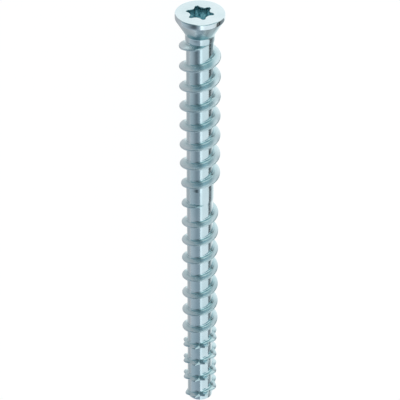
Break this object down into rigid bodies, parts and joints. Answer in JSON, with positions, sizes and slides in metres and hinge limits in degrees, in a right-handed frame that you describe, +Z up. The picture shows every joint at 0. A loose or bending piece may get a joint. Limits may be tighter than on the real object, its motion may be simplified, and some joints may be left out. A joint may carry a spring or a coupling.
{
  "type": "concrete screw",
  "caption": "Countersunk concrete screw with a six-lobed drive recess, an upper and a lower right-hand thread with a plain length between them, and toothed cutting turns at the tip.",
  "frame": {"origin": "on the surface that the screw lies on, under the middle of its length", "axes": "+X from the head towards the tip, +Z up from the surface; the screw's own axis dips 0.82 degrees towards the tip, because it rests on its head rim and on a thread crest"},
  "size_m": [0.1, 0.01, 0.01],
  "materials": {
    "zinc_plated_steel": "cold-formed steel with bright blue-passivated zinc plating"
  },
  "bodies": {
    "root": {"screw": "zinc_plated_steel"}
  },
  "joints": []
}
